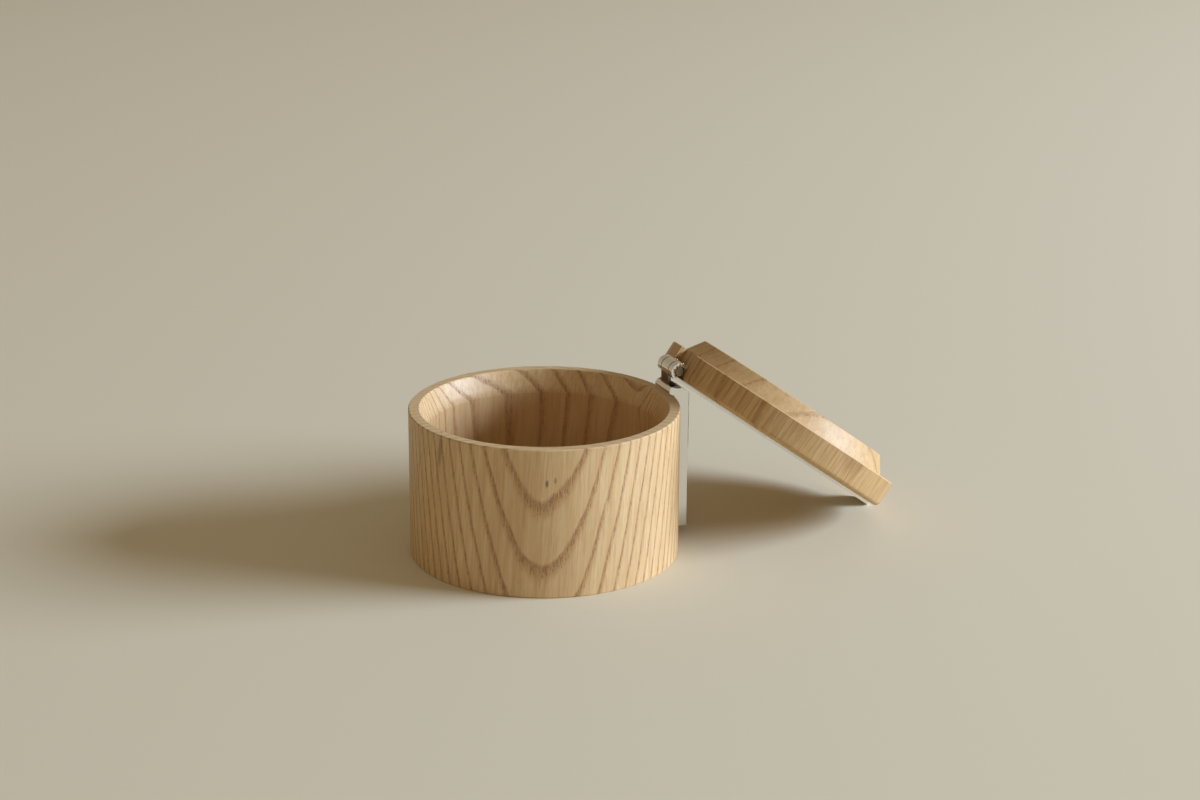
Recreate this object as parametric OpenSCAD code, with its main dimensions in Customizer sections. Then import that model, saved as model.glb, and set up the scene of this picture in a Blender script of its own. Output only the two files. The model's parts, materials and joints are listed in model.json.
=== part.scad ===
// Round wooden salt box with a lid on a steel strap hinge, shown open.
// Origin: centre of the flat base. +X points to the hinge, +Y along the hinge pin, +Z up.
// The lid and its steel are drawn closed, then swung open about the pin.

/* [Body] */
// Outside diameter of the box
body_d = 100; // [80:1:130]
// Height of the box from base to rim
body_h = 55.6; // [45:0.1:80]
// Thickness of the wall below the seat
wall_t = 6.7; // [6:0.1:9]
// Width of the rim's flat top
rim_w = 3.9; // [3.5:0.1:5]
// Depth of the flared seat below the rim
seat_depth = 8.8; // [7.5:0.1:12]
// Thickness of the floor
floor_t = 8; // [5:0.5:12]
// Radius of the cove between floor and wall
cove_r = 4; // [1:0.5:8]
// Width of the broken edges at the rim, the mouth and the base
edge_break = 0.4; // [0.2:0.1:0.8]

/* [Lid] */
// Thickness of the lid's flange
flange_t = 10.7; // [9:0.1:16]
// Height of the conical plug under the flange
plug_h = 6.6; // [4:0.1:7.5]
// Gap between the plug's root and the mouth of the seat
plug_gap = 1.7; // [1:0.1:3]
// How far the plug draws in from its root to its end
plug_draw = 4.4; // [2:0.1:8]
// Radius of the edge at the plug's end
plug_round = 0.8; // [0.4:0.1:1.5]
// Radius of the flange's outer edge
lid_round = 2; // [0.5:0.1:3]
// Gap between flange and rim when the lid is closed
lid_gap = 0.2; // [0.1:0.05:0.5]

/* [Hinge] */
// Thickness of the sheet steel
sheet = 1.4; // [1:0.1:2]
// Width of the strap, the bracket and the barrel
hinge_w = 12.5; // [10:0.5:16]
// Length of the centre knuckle along the pin
leaf_w = 6; // [4:0.1:7]
// Gap between neighbouring knuckles
knuckle_gap = 0.25; // [0.1:0.05:0.4]
// Diameter of the hinge pin
pin_d = 4; // [3:0.1:5]
// Radial running clearance between pin and centre knuckle
pin_clear = 0.05; // [0.02:0.01:0.1]
// How far each end of the pin stands out of the barrel
pin_proud = 0.15; // [0.05:0.05:0.25]
// Distance of the pin's axis outside the wall
pin_out = 1.7; // [1.5:0.1:2.5]
// Length of the strap's free lip after its roll
lip_len = 2.4; // [1:0.1:3]
// Angle by which the lip spreads away from the strap
lip_flare = 9; // [0:1:15]
// Length of the thumb tab past the front of the lid
tab_len = 3.5; // [2:0.5:10]
// Corner radius of the thumb tab
tab_r = 2; // [1:0.5:5]

/* [Bracket] */
// How far the bracket stands out from the wall
bracket_depth = 5.9; // [5:0.1:8]
// Height of the bracket's lower end above the base
bracket_foot = 3.2; // [2:0.1:10]
// How far the bracket's nose reaches over the rim
nose_reach = 2.7; // [2.2:0.1:3.2]
// Height of the nose above the rim
nose_h = 1.9; // [1.5:0.1:2.2]
// How far the bevel above the nose draws back
nose_bevel = 1.05; // [0.5:0.05:1.3]
// Height of the bevel above the nose
nose_bevel_h = 1.35; // [0.5:0.05:1.6]
// Distance of the crest outside the wall
crest_out = 0.7; // [0.4:0.1:1]
// Gap between the bracket's crest and the barrel above it
crest_gap = 1.75; // [1:0.05:2.5]
// Gap between the bracket's outer top edge and the open strap
heel_gap = 0.85; // [0.5:0.05:2]
// Radius that rounds the crest
crest_r = 0.8; // [0.5:0.1:2]
// Radius of the nose's upright corners
nose_r = 0.4; // [0.3:0.1:2]
// Width of the bracket's broken outer edges
bracket_break = 0.35; // [0.2:0.05:0.5]

/* [Screws] */
// Diameter of the screws' shanks
screw_d = 3; // [2.5:0.1:3.5]
// Diameter of the countersunk heads
head_d = 5.4; // [5:0.1:6]
// Length of the screws through the strap
strap_screw_len = 9; // [7:0.5:10]
// Length of the screws through the bracket
bracket_screw_len = 10.5; // [9:0.5:11]
// Distance of each strap screw from the lid's centre
strap_screw_at = 25; // [15:1:30]
// Heights of the two bracket screws above the base
bracket_screw_z = [17, 39]; // [10:1:44]

/* [Hidden] */

$fn = 96;
// Small overlap that lets a cut run through a face
cut = 1;
// Gap that keeps two pieces of one fit apart
fit = 0.02;
// Number of steps in a rounded corner of a polygon
corner_steps = 8;
// Gap between the notch's back wall and the bracket's nose
notch_gap = 0.45;
// Gap between the notch's side walls and the barrel
notch_side = 0.3;
// Clearance beyond the centre knuckle at the end of the strap's slot
slot_end = 0.5;
// Width of the broken edge at each end of the pin
pin_break = 0.5;

body_r = body_d / 2;
inner_r = body_r - wall_t;
mouth_r = body_r - rim_w;

pin_r = pin_d / 2;
pin_x = body_r + pin_out;
// Closed, the strap lies on the flange and just above the pin
lid_z = body_h + lid_gap;
lid_top = lid_z + flange_t;
pin_z = lid_top - pin_r;
strap_r = pin_r + sheet;
leaf_bore_r = pin_r + pin_clear;
leaf_r = leaf_bore_r + sheet;

plug_root_r = mouth_r - plug_gap;
plug_end_r = plug_root_r - plug_draw;

// From the pin's axis to the end of the thumb tab
strap_reach = pin_x + body_r + tab_len;
// Open, the end of the tab rests on the table, which gives the lid's slope
open_tilt = asin(pin_z / norm([strap_reach, strap_r])) - atan(strap_r / strap_reach);
open_angle = 180 + open_tilt;

// The bracket's head stays under the barrel, and under the open strap as it slopes away
outer_x = body_r + bracket_depth;
crest_x = body_r + crest_out;
crest_z = pin_z - sqrt(strap_r * strap_r - (pin_x - crest_x) * (pin_x - crest_x)) - crest_gap;
heel_z = pin_z - (strap_r + heel_gap) / cos(open_tilt) - (outer_x - pin_x) * tan(open_tilt);

// The notch in the flange clears the bracket's nose and the barrel
nose_x = body_r - nose_reach;
notch_x = nose_x - notch_gap;
notch_w = hinge_w + 2 * notch_side;

// The slot in the strap clears the centre knuckle
slot_w = leaf_w + 2 * knuckle_gap;
slot_x = sqrt(leaf_r * leaf_r - pin_r * pin_r) + slot_end;
// Angle at which the centre knuckle's roll ends, short of its own post
leaf_end = 250;

head_h = (head_d - screw_d) / 2;
// Flat at the screw's tip, and the arms of the crossed recess in its head
tip_r = 0.3;
drive_w = 0.7;
drive_depth = 0.7;
drive_len = 0.6 * head_d;

// Turns a point about the origin
function turned(p, a) = [p[0] * cos(a) - p[1] * sin(a), p[0] * sin(a) + p[1] * cos(a)];

// Points that round the corner q between the points p and s
function rounded(p, q, s, r) =
    let (a = (p - q) / norm(p - q), b = (s - q) / norm(s - q))
    let (half = acos(a * b) / 2, bis = (a + b) / norm(a + b))
    let (centre = q + bis * r / sin(half), from = q + a * r / tan(half) - centre)
    let (side = sign(a[0] * b[1] - a[1] * b[0]), sweep = 180 - 2 * half)
    [for (i = [0 : corner_steps]) centre + turned(from, -side * sweep * i / corner_steps)];

// Swings what is drawn closed to the open pose
module opened() {
    translate([pin_x, 0, pin_z])
        rotate([0, open_angle, 0])
            translate([-pin_x, 0, -pin_z])
                children();
}

// Extrudes an outline drawn in X and Z by a width along Y, centred on Y = 0
module across(width) {
    rotate([90, 0, 0])
        linear_extrude(width, center = true)
            children();
}

// Outline in radius and height: lower outer corner rounded, upper outer corner broken
module soft_block(r, h, round_r) {
    square([r - round_r, h]);
    polygon([[0, round_r], [r, round_r], [r, h - edge_break], [r - edge_break, h], [0, h]]);
    translate([r - round_r, round_r])
        circle(round_r);
}

// Countersunk screw, its head's face at z = 0 and its shank down
module screw(len) {
    tip = screw_d / 2;
    difference() {
        rotate_extrude()
            polygon([[0, 0], [head_d / 2, 0], [screw_d / 2, -head_h], [screw_d / 2, tip - len],
                [tip_r, -len], [0, -len]]);
        for (a = [0, 90])
            rotate([0, 0, a])
                translate([0, 0, -drive_depth / 2 + cut / 2])
                    cube([drive_len, drive_w, drive_depth + cut], center = true);
    }
}

// Countersunk hole that takes a screw of the same place
module screw_hole(len) {
    r = screw_d / 2 + fit;
    translate([0, 0, -len - fit])
        cylinder(h = len + fit + cut, r = r);
    translate([0, 0, -head_h])
        cylinder(h = head_h, r1 = r, r2 = head_d / 2 + fit);
    cylinder(h = cut, r = head_d / 2 + fit);
}

module at_strap_screws() {
    for (side = [-1, 1])
        translate([side * strap_screw_at, 0, lid_top + sheet])
            children();
}

module at_bracket_screws() {
    for (z = bracket_screw_z)
        translate([outer_x, 0, z])
            rotate([0, 90, 0])
                children();
}

// Turned cup with a flared seat for the lid's plug
module body() {
    seat_z = body_h - seat_depth;
    color("burlywood")
        difference() {
            rotate_extrude()
                polygon([[0, 0], [body_r - edge_break, 0], [body_r, edge_break],
                    [body_r, body_h - edge_break], [body_r - edge_break, body_h], [0, body_h]]);
            translate([0, 0, floor_t])
                rotate_extrude()
                    soft_block(inner_r, body_h, cove_r);
            translate([0, 0, seat_z])
                rotate_extrude()
                    polygon([[0, 0], [inner_r, 0],
                        [mouth_r - edge_break, seat_depth - edge_break], [mouth_r, seat_depth],
                        [mouth_r, seat_depth + cut], [0, seat_depth + cut]]);
            at_bracket_screws()
                screw_hole(bracket_screw_len);
        }
}

// Turned lid: flange with a rounded outer edge, conical plug, notch for the hinge
module lid() {
    plug_end = [plug_end_r, 0];
    plug_root = [plug_root_r, plug_h];
    color("burlywood")
        opened()
            difference() {
                union() {
                    translate([0, 0, lid_top])
                        mirror([0, 0, 1])
                            rotate_extrude()
                                soft_block(body_r, flange_t, lid_round);
                    translate([0, 0, lid_z - plug_h])
                        rotate_extrude()
                            polygon(concat([[0, 0]],
                                rounded([0, 0], plug_end, plug_root, plug_round),
                                [plug_root, [plug_root_r, plug_h + cut], [0, plug_h + cut]]));
                }
                translate([notch_x, -notch_w / 2, lid_z - cut])
                    cube([body_r, notch_w, flange_t + 2 * cut]);
                at_strap_screws()
                    screw_hole(strap_screw_len);
            }
}

// Strap along the lid's outer face, rolled round the pin at one end, a thumb tab at the other
module lid_strap() {
    half = hinge_w / 2;
    far = 2 * strap_r;
    lip_end = [-lip_len, -pin_r - lip_len * tan(lip_flare)];
    tip_x = pin_x - strap_reach;
    outline = concat([[pin_x, half]],
        rounded([pin_x, half], [tip_x, half], [tip_x, -half], tab_r),
        rounded([tip_x, half], [tip_x, -half], [pin_x, -half], tab_r),
        [[pin_x, -half]]);
    color("silver")
        opened()
            difference() {
                union() {
                    translate([0, 0, lid_top])
                        linear_extrude(sheet)
                            polygon(outline);
                    translate([pin_x, 0, pin_z])
                        across(hinge_w) {
                            difference() {
                                circle(strap_r);
                                circle(pin_r);
                                translate([-far, -far])
                                    square([far, 2 * far]);
                            }
                            polygon([[0, -strap_r], [0, -pin_r], lip_end, lip_end - [0, sheet]]);
                        }
                }
                translate([pin_x - slot_x, -slot_w / 2, pin_z - far])
                    cube([slot_x + far, slot_w, 2 * far]);
                at_strap_screws()
                    screw_hole(strap_screw_len);
            }
}

// Solid bar down the wall whose head hooks over the rim and stands under the barrel
module wall_bracket() {
    nose = [nose_x, body_h + nose_h];
    shoulder = nose + [nose_bevel, nose_bevel_h];
    crest = [crest_x, crest_z];
    heel = [outer_x, heel_z];
    side_outline = concat([[nose_x, body_h + fit], nose, shoulder],
        rounded(shoulder, crest, heel, crest_r),
        [heel, [outer_x, bracket_foot], [inner_r, bracket_foot], [inner_r, body_h + fit]]);
    half = hinge_w / 2;
    near = [nose_x, -half];
    far = [nose_x, half];
    plan_outline = concat(rounded([outer_x, -half], near, far, nose_r),
        rounded(near, far, [outer_x, half], nose_r),
        [[outer_x - bracket_break, half], [outer_x, half - bracket_break],
            [outer_x, bracket_break - half], [outer_x - bracket_break, -half]]);
    color("silver")
        difference() {
            intersection() {
                across(hinge_w + cut)
                    polygon(side_outline);
                linear_extrude(crest_z + cut)
                    polygon(plan_outline);
            }
            cylinder(h = body_h + fit, r = body_r + fit);
            leaf_post(fit);
            at_bracket_screws()
                screw_hole(bracket_screw_len);
        }
}

// Upright post of the leaf, from the rim to the pin's height, grown by a gap all round
module leaf_post(gap) {
    post_z = body_h + 2 * fit;
    translate([pin_x - leaf_r - gap, -leaf_w / 2 - gap, post_z - gap - (gap > 0 ? cut : 0)])
        cube([sheet + 2 * gap, leaf_w + 2 * gap, pin_z - post_z + gap + (gap > 0 ? cut : 0)]);
}

// Sheet leaf: a post let into the bracket's head, rolled round the pin at its top
module hinge_leaf() {
    color("silver") {
        leaf_post(0);
        translate([pin_x, 0, pin_z])
            across(leaf_w)
                difference() {
                    circle(leaf_r);
                    circle(leaf_bore_r);
                    polygon([[0, 0], [-2 * leaf_r, 0], [-2 * leaf_r, -2 * leaf_r],
                        2 * leaf_r * [cos(leaf_end), sin(leaf_end)]]);
                }
    }
}

// Pin with broken ends, fast in the strap's two knuckles
module hinge_pin() {
    half = hinge_w / 2 + pin_proud;
    color("gray")
        translate([pin_x, 0, pin_z])
            rotate([90, 0, 0])
                rotate_extrude()
                    polygon([[0, -half], [pin_r - pin_break, -half], [pin_r, pin_break - half],
                        [pin_r, half - pin_break], [pin_r - pin_break, half], [0, half]]);
}

module lid_screws() {
    color("gray")
        opened()
            at_strap_screws()
                screw(strap_screw_len);
}

module bracket_screws() {
    color("gray")
        at_bracket_screws()
            screw(bracket_screw_len);
}

body();
lid();
lid_strap();
wall_bracket();
hinge_leaf();
hinge_pin();
lid_screws();
bracket_screws();
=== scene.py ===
import json
import math

import bpy
from mathutils import Matrix, Vector

# Looks of a round wooden salt box with a lid on a steel strap hinge.
# Metres, +Z up, +X to the hinge, the lid open.

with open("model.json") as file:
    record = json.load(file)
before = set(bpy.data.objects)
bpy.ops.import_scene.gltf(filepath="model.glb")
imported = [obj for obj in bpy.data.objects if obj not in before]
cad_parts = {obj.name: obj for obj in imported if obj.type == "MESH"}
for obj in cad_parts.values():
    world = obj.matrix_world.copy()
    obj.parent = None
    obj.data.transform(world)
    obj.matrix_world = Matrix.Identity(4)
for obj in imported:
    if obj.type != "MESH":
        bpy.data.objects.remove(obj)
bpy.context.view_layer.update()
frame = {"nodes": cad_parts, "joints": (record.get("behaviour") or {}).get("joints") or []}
MM = 0.001
UP = Vector((0, 0, 1))

# The camera, fitted to the circles of the photographed box
IMAGE_W = 1200
FOCAL_PX = 2399.86
SENSOR_MM = 36.0
CAMERA_AT = Vector((-0.31003, -0.77883, 0.33009))
CAMERA_LOOK = Vector((0.37317, 0.87488, -0.30875)).normalized()
CAMERA_ROLL = 0.0083

# Directions on the table: from the box towards the camera's side, and the right of that
TOWARDS = Vector((-CAMERA_LOOK.x, -CAMERA_LOOK.y, 0)).normalized()
RIGHT = UP.cross(TOWARDS)

# The hinge's axis and how far the lid stands open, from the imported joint
HINGE = frame["joints"][0]
PIN = Vector(HINGE["pos_m"])
LID_TURN = Matrix.Rotation(math.radians(HINGE["range_deg"][1]), 3, "Y")
# The open lid's own axes: from its centre to the hinge, and from its plug to its outer face
LID_OUT = LID_TURN @ Vector((1, 0, 0))
LID_AXIS = LID_TURN @ UP
LID_CENTRE = PIN + LID_TURN @ (Vector((0, 0, PIN.z)) - PIN)

# The hinge: its sheet's outer radius at the barrel, how far the gaps between its knuckles lie from
# its middle, and how far the painted shade in the pocket under it reaches from the pin
BARREL_MM = 3.4
KNUCKLE_JOINT_MM = 3.125
POCKET_SHADE_MM = 6.2
# The cup's inside below its seat, darkened with painted shade: its radius and its top
WELL_RADIUS_MM = 43.3
WELL_TOP_MM = 46.8

# How wide the edges of the wood, the sheet and the turned steel are broken
WOOD_EDGE_MM = 0.15
SHEET_EDGE_MM = 0.25
TURNED_EDGE_MM = 0.05
EDGE_ANGLE_DEG = 30
WELD_MM = 0.001

# The key lamp: from the picture's right towards the camera, up, and away
KEY_TOWARDS_DEG = 2
KEY_UP_DEG = 19
KEY_DISTANCE = 4.0
KEY_SIZE = (2.4, 1.3)
KEY_WATTS = 230.0
KEY_COLOUR = (0.86, 1.0, 1.24)
# The dim room: brighter at the horizon, dimmer overhead
WORLD_COLOUR = (1.0, 0.81, 0.56, 1)
WORLD_AT_HORIZON = 0.43
WORLD_OVERHEAD = 0.23
TABLE_SIZE = 10


def srgb(r, g, b):
    """Linear RGBA of a colour given as it looks on a screen, 0 to 255."""
    def linear(c):
        c /= 255
        return c / 12.92 if c <= 0.04045 else ((c + 0.055) / 1.055) ** 2.4
    return (linear(r), linear(g), linear(b), 1)


class Graph:
    """Builds one material out of short calls. A value is a number, a colour or a node's output."""

    def __init__(self, slot):
        self.material = bpy.data.materials.get(slot) or bpy.data.materials.new(slot)
        self.material.use_nodes = True
        self.nodes = self.material.node_tree.nodes
        self.links = self.material.node_tree.links
        self.nodes.clear()
        self.shader = self.nodes.new("ShaderNodeBsdfPrincipled")
        output = self.nodes.new("ShaderNodeOutputMaterial")
        self.links.new(self.shader.outputs["BSDF"], output.inputs["Surface"])

    def put(self, socket, value):
        if isinstance(value, bpy.types.NodeSocket):
            self.links.new(value, socket)
        else:
            socket.default_value = value

    def node(self, kind, inputs=(), **settings):
        made = self.nodes.new("ShaderNode" + kind)
        for name, value in settings.items():
            setattr(made, name, value)
        for key, value in dict(inputs).items():
            self.put(made.inputs[key], value)
        return made

    def math(self, operation, *values):
        return self.node("Math", enumerate(values), operation=operation).outputs[0]

    def add(self, *values):
        total = values[0]
        for value in values[1:]:
            total = self.math("ADD", total, value)
        return total

    def times(self, *values):
        product = values[0]
        for value in values[1:]:
            product = self.math("MULTIPLY", product, value)
        return product

    def vector(self, operation, *values):
        made = self.node("VectorMath", enumerate(values), operation=operation)
        return made.outputs["Value" if operation in ("DOT_PRODUCT", "LENGTH") else "Vector"]

    def stretch(self, place, factors):
        return self.vector("MULTIPLY", place, factors)

    def step(self, value, start, end):
        """0 before start and 1 after end, smoothly; falls from 1 to 0 if end is before start."""
        rising = start < end
        ends = {"From Min": min(start, end), "From Max": max(start, end),
                "To Min": 0.0 if rising else 1.0, "To Max": 1.0 if rising else 0.0}
        made = self.node("MapRange", {"Value": value, **ends}, interpolation_type="SMOOTHSTEP")
        return made.outputs["Result"]

    def noise(self, place, scale=1.0, detail=2.0, roughness=0.5):
        inputs = {"Vector": place, "Scale": scale, "Detail": detail, "Roughness": roughness}
        return self.node("TexNoise", inputs).outputs["Fac"]

    def wobble(self, place, size):
        """Noise from about -size / 2 to size / 2."""
        return self.times(self.add(self.noise(place), -0.5), size)

    def cells(self, place):
        inputs = {"Vector": place, "Scale": 1.0, "Randomness": 1.0}
        return self.node("TexVoronoi", inputs, feature="F1").outputs["Distance"]

    def mix(self, factor, a, b):
        made = self.node("Mix", data_type="RGBA")
        for key, value in (("Factor_Float", factor), ("A_Color", a), ("B_Color", b)):
            self.put(next(s for s in made.inputs if s.identifier == key), value)
        return next(s for s in made.outputs if s.identifier == "Result_Color")

    def bump(self, height, strength, distance):
        made = self.node("Bump", {"Height": height, "Strength": strength, "Distance": distance})
        return made.outputs["Normal"]

    def surface(self, **values):
        for key, value in values.items():
            self.put(self.shader.inputs[key.replace("_", " ")], value)
        return self.material


def plank(g, origin, pith, grain):
    """The point in millimetres in a plank's own axes: across, towards the pith, along the grain."""
    place = g.vector("SUBTRACT", g.node("TexCoord").outputs["Object"], origin)
    place = g.vector("MULTIPLY", place, (1 / MM,) * 3)
    parts = [g.vector("DOT_PRODUCT", place, axis) for axis in (grain.cross(pith), pith, grain)]
    return parts, g.node("CombineXYZ", dict(zip("XYZ", parts))).outputs[0]


def growth_rings(g, parts, place, figure):
    """Where a point lies in its year's growth, from 0 at the start of the year to 1 at its end."""
    across, towards, along = parts
    depth = g.add(figure["pith_mm"], g.times(towards, -1))
    radius = g.math("SQRT", g.add(g.times(across, across), g.times(depth, depth)))
    radius = g.add(radius, g.times(along, -figure["taper"]))
    if "back" in figure:
        lean, bow, shift = figure["back"]
        straight = g.add(g.times(across, lean), g.times(across, across, bow),
                         g.times(along, figure["taper"]), shift)
        radius = g.add(radius, g.times(g.step(towards, 5.0, -30.0), straight))
    uneven = g.node("CombineXYZ", {"X": g.times(radius, 0.13)}).outputs[0]
    radius = g.add(radius, g.wobble(g.stretch(place, (0.03, 0.03, 0.012)), figure["slow"]),
                   g.wobble(g.stretch(place, (0.25, 0.25, 0.05)), figure["waver"]),
                   g.wobble(uneven, figure["uneven"]))
    return g.math("FRACT", g.add(g.math("DIVIDE", radius, figure["ring_mm"]), figure["phase"]))


def pores(g, place, early, size, seed, reach):
    """Vessels cut lengthwise, crowded where early is 1."""
    across, along = size
    place = g.stretch(place, (1 / across, 1 / across, 1 / along))
    place = g.vector("ADD", place, (seed, seed, seed))
    radius = g.add(g.times(early, reach), 0.02)
    return g.step(g.add(g.cells(place), g.times(radius, -1)), 0.1, -0.1)


def well_shade(g):
    """Where the cup's inside gets painted shade: 1 on its wall and floor below its seat, else 0."""
    place = g.stretch(g.node("TexCoord").outputs["Object"], (1 / MM,) * 3)
    z = g.node("SeparateXYZ", {"Vector": place}).outputs["Z"]
    radius = g.vector("LENGTH", g.stretch(place, (1, 1, 0)))
    return g.times(g.step(radius, WELL_RADIUS_MM + 0.3, WELL_RADIUS_MM + 0.1),
                   g.step(z, WELL_TOP_MM + 0.1, WELL_TOP_MM))


def wood(slot, figure, colours, marks=()):
    """Ring-porous solid wood: rings round a distant pith, bands of vessels, fine fibre.

    The figure holds the plank's place and axes, then the rings' width, place and waver, then how
    strongly each part of the pattern shows, then the finish. Lengths are in millimetres.
    """
    g = Graph(slot)
    parts, place = plank(g, figure["origin"], figure["pith"], figure["grain"])
    year = growth_rings(g, parts, place, figure)
    end = figure["early"]
    streak = g.noise(g.stretch(place, (1.7, 1.7, 0.035)), 1.0, 2.0)
    early = g.times(g.step(year, 0.0, 0.09), g.step(year, end, end * 0.3),
                    g.step(streak, 0.1, 0.55))
    line = g.times(g.step(year, 0.0, 0.03), g.step(year, end * 0.5, end * 0.12))
    late = g.step(year, 0.5, 1.0)
    pore = g.math("MAXIMUM", pores(g, place, early, (0.8, 3.0), 0.0, 0.42),
                  pores(g, place, early, (0.45, 1.8), 40.0, 0.36))

    facing = g.vector("DOT_PRODUCT", g.node("TexCoord").outputs["Normal"], figure["grain"])
    facing = g.math("ABSOLUTE", facing)
    lengthwise = g.times(g.step(facing, 0.75, 0.3), figure["fibre"])
    coarse = g.noise(g.stretch(place, (0.45, 0.45, 0.02)), 1.0, 1.0)
    fibre = g.noise(g.stretch(place, (1.3, 1.3, 0.06)), 1.0, 2.0)
    fine = g.noise(g.stretch(place, (3.4, 3.4, 0.25)), 1.0, 3.0, 0.6)

    colour = g.mix(g.step(coarse, 0.3, 0.7), colours["pale"], colours["warm"])
    colour = g.mix(g.times(g.step(fibre, 0.42, 0.72), lengthwise), colour, colours["early"])
    colour = g.mix(g.times(g.step(fine, 0.4, 0.8), lengthwise, 0.8), colour, colours["early"])
    colour = g.mix(g.times(late, 0.25), colour, colours["late"])
    colour = g.mix(g.times(early, figure["band"]), colour, colours["early"])
    colour = g.mix(g.times(line, figure["line"]), colour, colours["pore"])
    colour = g.mix(g.times(pore, figure["pores"]), colour, colours["pore"])
    for centre, size, strength in marks:
        offset = g.vector("DIVIDE", g.vector("SUBTRACT", place, centre), size)
        spot = g.times(g.step(g.vector("LENGTH", offset), 1.0, 0.3), strength)
        colour = g.mix(spot, colour, colours["mark"])

    colour = g.mix(g.times(g.step(facing, 0.8, 0.97), 0.5), colour, colours["end"])
    # painted shade: the cup's inside below its seat darkened towards the early-wood colour
    if "well_shade" in figure:
        colour = g.mix(g.times(well_shade(g), figure["well_shade"]), colour, colours["early"])

    height = g.add(g.times(fine, 0.2), g.times(pore, -1))
    gloss = g.add(g.times(fine, 0.12), g.times(pore, 0.15), figure["gloss"])
    return g.surface(Base_Color=colour, Roughness=gloss, Specular_IOR_Level=figure["shine"],
                     Normal=g.bump(height, 0.5, 0.08 * MM))


# Each ash's colours: the ground in two tones, late and early growth, vessels, end grain and knots
BODY_ASH = {"pale": srgb(218, 189, 141), "warm": srgb(208, 175, 125), "late": srgb(203, 168, 116),
            "early": srgb(174, 132, 84), "pore": srgb(144, 98, 54), "end": srgb(214, 186, 142),
            "mark": srgb(104, 70, 40)}
LID_ASH = {"pale": srgb(206, 175, 126), "warm": srgb(196, 161, 111), "late": srgb(192, 156, 104),
           "early": srgb(166, 124, 74), "pore": srgb(132, 88, 44), "end": srgb(202, 171, 124),
           "mark": srgb(88, 60, 36)}


def body_wood():
    """Flat-sawn towards the camera: arches in front, straight lines on the far wall."""
    grain = (UP + RIGHT * 0.07).normalized()
    pith = (TOWARDS - grain * TOWARDS.dot(grain)).normalized()
    figure = {"origin": Vector((0, 0, 0)), "pith": pith, "grain": grain, "ring_mm": 3.75,
              "pith_mm": 150.0, "taper": 0.155, "phase": -0.145, "back": (0.43, 0.012, 1.0),
              "early": 0.4, "band": 0.85, "slow": 2.0, "waver": 0.6, "uneven": 0.9,
              "fibre": 0.42, "line": 0.1, "pores": 0.55, "gloss": 0.42, "shine": 0.75,
              # the strength of the painted shade in the cup's inside
              "well_shade": 0.3}
    knots = [(Vector((-0.9, 50.0, 43.3)), Vector((0.8, 4.0, 1.9)), 0.8),
             (Vector((2.0, 50.0, 44.6)), Vector((0.7, 4.0, 1.6)), 0.55),
             (Vector((-39.6, 31.0, 47.0)), Vector((1.1, 9.0, 10.0)), 0.6)]
    return wood("body_wood", figure, BODY_ASH, knots)


def lid_wood():
    """Grain along the lid's own axis: arcs on its faces, short lines across its edge."""
    pith = (LID_OUT * 0.1 + Vector((0, 1, 0))).normalized()
    figure = {"origin": LID_CENTRE, "pith": pith, "grain": LID_AXIS, "ring_mm": 11.75,
              "pith_mm": 109.5, "taper": 0.05, "phase": 0.442, "early": 0.17, "slow": 1.5,
              "band": 0.6, "waver": 0.5, "uneven": 1.0, "fibre": 0.75, "line": 0.3,
              "pores": 0.65, "gloss": 0.46, "shine": 0.45}
    return wood("lid_wood", figure, LID_ASH)


def polished_steel():
    """Polished sheet steel with faint wiping marks, with painted shade in the pocket under the
    barrel and in its knuckle joints, and a painted dark reflection on the post below it.
    """
    g = Graph("polished_steel")
    place = g.node("TexCoord").outputs["Object"]
    haze = g.noise(place, 220.0, 4.0)
    marks = g.noise(g.stretch(place, (900.0, 6000.0, 900.0)), 1.0, 2.0)

    offset = g.stretch(g.vector("SUBTRACT", place, PIN), (1 / MM,) * 3)
    x, y, z = g.node("SeparateXYZ", {"Vector": offset}).outputs
    side = g.math("ABSOLUTE", y)
    reach = g.vector("LENGTH", g.stretch(offset, (1, 0, 1)))
    near = g.step(reach, POCKET_SHADE_MM + 0.3, POCKET_SHADE_MM)
    past_strap = g.vector("DOT_PRODUCT", offset, LID_AXIS)
    past_strap = g.step(past_strap, BARREL_MM + 0.05, BARREL_MM + 0.2)
    # painted shade: the pocket between the bracket's crest and the barrel, past the strap
    pocket = g.times(past_strap, near, g.step(x, 1.0, 0.5))
    # painted reflection: a dark brown reflection on the post's face below the barrel
    post = g.times(g.step(side, KNUCKLE_JOINT_MM + 0.025, KNUCKLE_JOINT_MM - 0.125),
                   g.step(z, -0.8, -1.6), g.step(x, -1.6, -1.9), near)
    # painted shade: along the gaps between the knuckles on the barrel
    joint = g.math("ABSOLUTE", g.add(side, -KNUCKLE_JOINT_MM))
    joint = g.times(g.step(joint, 0.34, 0.14), g.step(reach, BARREL_MM + 0.8, BARREL_MM + 0.4))
    painted_shade_and_reflection = g.math("MAXIMUM", g.math("MAXIMUM", pocket, post), joint)
    painted_shade_and_reflection = g.times(painted_shade_and_reflection, g.add(g.times(haze, 0.2), 0.75))

    # the painted shade and reflection: dark brown mixed into the polished colour, which is also
    # made rougher there
    colour = g.mix(painted_shade_and_reflection, srgb(236, 235, 231), srgb(74, 56, 38))
    gloss = g.add(g.times(haze, 0.12), g.times(painted_shade_and_reflection, 0.2), 0.06)
    return g.surface(Base_Color=colour, Metallic=1.0, Roughness=gloss,
                     Normal=g.bump(marks, 0.12, 0.01 * MM))


def pin_steel():
    """Turned steel, duller and darker than the sheet."""
    g = Graph("pin_steel")
    place = g.node("TexCoord").outputs["Object"]
    haze = g.noise(place, 900.0, 3.0)
    gloss = g.add(g.times(haze, 0.2), 0.28)
    return g.surface(Base_Color=srgb(150, 140, 122), Metallic=1.0, Roughness=gloss,
                     Normal=g.bump(haze, 0.2, 0.01 * MM))


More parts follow.
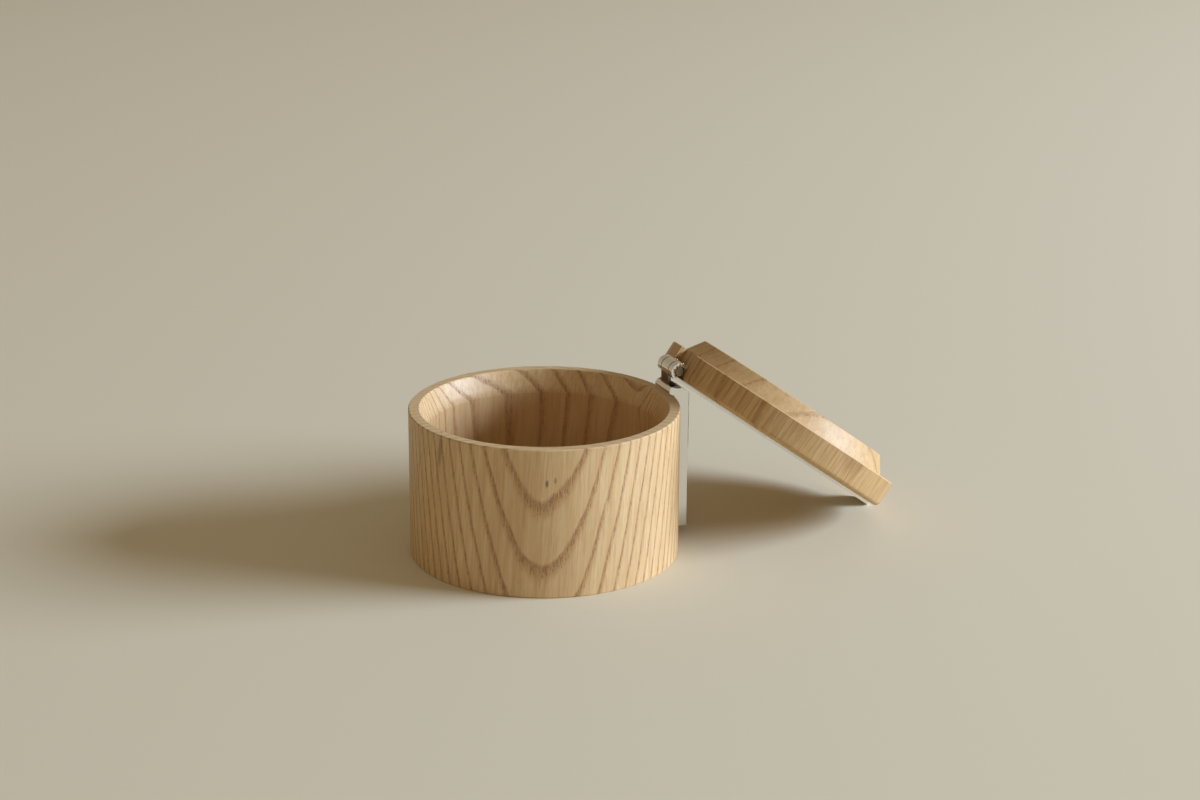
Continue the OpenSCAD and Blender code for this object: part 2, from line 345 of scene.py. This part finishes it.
def smoothing():
    """A node group for a modifier: drops the stored normals and smooths all faces and edges."""
    group = bpy.data.node_groups.new("smooth", "GeometryNodeTree")
    for way in ("INPUT", "OUTPUT"):
        group.interface.new_socket("Mesh", in_out=way, socket_type="NodeSocketGeometry")
    smooth = group.nodes.new("GeometryNodeSetMeshNormal")
    smooth.mode = "SHARPNESS"
    smooth.inputs["Remove Custom"].default_value = True
    start, end = group.nodes.new("NodeGroupInput"), group.nodes.new("NodeGroupOutput")
    group.links.new(start.outputs[0], smooth.inputs["Mesh"])
    group.links.new(smooth.outputs["Mesh"], end.inputs[0])
    return group


def dress(name, material, smooth, width_mm, segments):
    """Gives a CAD node its material and softly broken edges, by modifiers alone."""
    node = frame["nodes"][name]
    node.material_slots[0].material = material
    node.modifiers.new("smooth", "NODES").node_group = smooth
    weld = node.modifiers.new("weld", "WELD")
    weld.merge_threshold = WELD_MM * MM
    bevel = node.modifiers.new("bevel", "BEVEL")
    bevel.width = width_mm * MM
    bevel.segments = segments
    bevel.limit_method = "ANGLE"
    bevel.angle_limit = math.radians(EDGE_ANGLE_DEG)
    node.modifiers.new("normals", "WEIGHTED_NORMAL")


def dress_nodes():
    smooth = smoothing()
    dress("body", body_wood(), smooth, WOOD_EDGE_MM, 2)
    dress("lid", lid_wood(), smooth, WOOD_EDGE_MM, 2)
    sheet = polished_steel()
    for name in ("lid_strap", "wall_bracket", "hinge_leaf"):
        dress(name, sheet, smooth, SHEET_EDGE_MM, 3)
    turned = pin_steel()
    for name in ("hinge_pin", "lid_screws", "bracket_screws"):
        dress(name, turned, smooth, TURNED_EDGE_MM, 2)


def camera():
    """The photograph's own view of the box."""
    data = bpy.data.cameras.new("camera")
    data.sensor_width = SENSOR_MM
    data.lens = FOCAL_PX / IMAGE_W * SENSOR_MM
    data.clip_start = 0.01
    right = CAMERA_LOOK.cross(UP).normalized()
    over = right.cross(CAMERA_LOOK)
    roll = Matrix.Rotation(CAMERA_ROLL, 3, -CAMERA_LOOK)
    axes = Matrix((roll @ right, roll @ over, -CAMERA_LOOK)).transposed()
    made = bpy.data.objects.new("camera", data)
    made.matrix_world = Matrix.Translation(CAMERA_AT) @ axes.to_4x4()
    bpy.context.scene.collection.objects.link(made)
    bpy.context.scene.camera = made


def key_light():
    """One wide soft lamp, low on the picture's right."""
    turn, rise = math.radians(KEY_TOWARDS_DEG), math.radians(KEY_UP_DEG)
    level = RIGHT * math.cos(turn) + TOWARDS * math.sin(turn)
    direction = level * math.cos(rise) + UP * math.sin(rise)
    data = bpy.data.lights.new("key", "AREA")
    data.shape = "ELLIPSE"
    data.size, data.size_y = KEY_SIZE
    data.energy = KEY_WATTS
    data.color = KEY_COLOUR
    made = bpy.data.objects.new("key", data)
    made.location = direction * KEY_DISTANCE
    made.rotation_euler = direction.to_track_quat("Z", "Y").to_euler()
    bpy.context.scene.collection.objects.link(made)


def room():
    """Pale table top, and a dim warm world."""
    g = Graph("table")
    g.surface(Base_Color=srgb(225, 216, 190), Roughness=0.9)
    bpy.ops.mesh.primitive_plane_add(size=TABLE_SIZE, location=(0, 0, 0))
    floor = bpy.context.object
    floor.name = "table"
    floor.data.materials.append(g.material)
    world = bpy.data.worlds.new("room")
    world.use_nodes = True
    nodes, links = world.node_tree.nodes, world.node_tree.links
    back = nodes["Background"]
    back.inputs["Color"].default_value = WORLD_COLOUR
    split = nodes.new("ShaderNodeSeparateXYZ")
    links.new(nodes.new("ShaderNodeTexCoord").outputs["Generated"], split.inputs[0])
    fade = nodes.new("ShaderNodeMapRange")
    fade.inputs["To Min"].default_value = WORLD_AT_HORIZON
    fade.inputs["To Max"].default_value = WORLD_OVERHEAD
    links.new(split.outputs["Z"], fade.inputs["Value"])
    links.new(fade.outputs["Result"], back.inputs["Strength"])
    bpy.context.scene.world = world
    bpy.context.scene.view_settings.view_transform = "Standard"


dress_nodes()
camera()
key_light()
room()
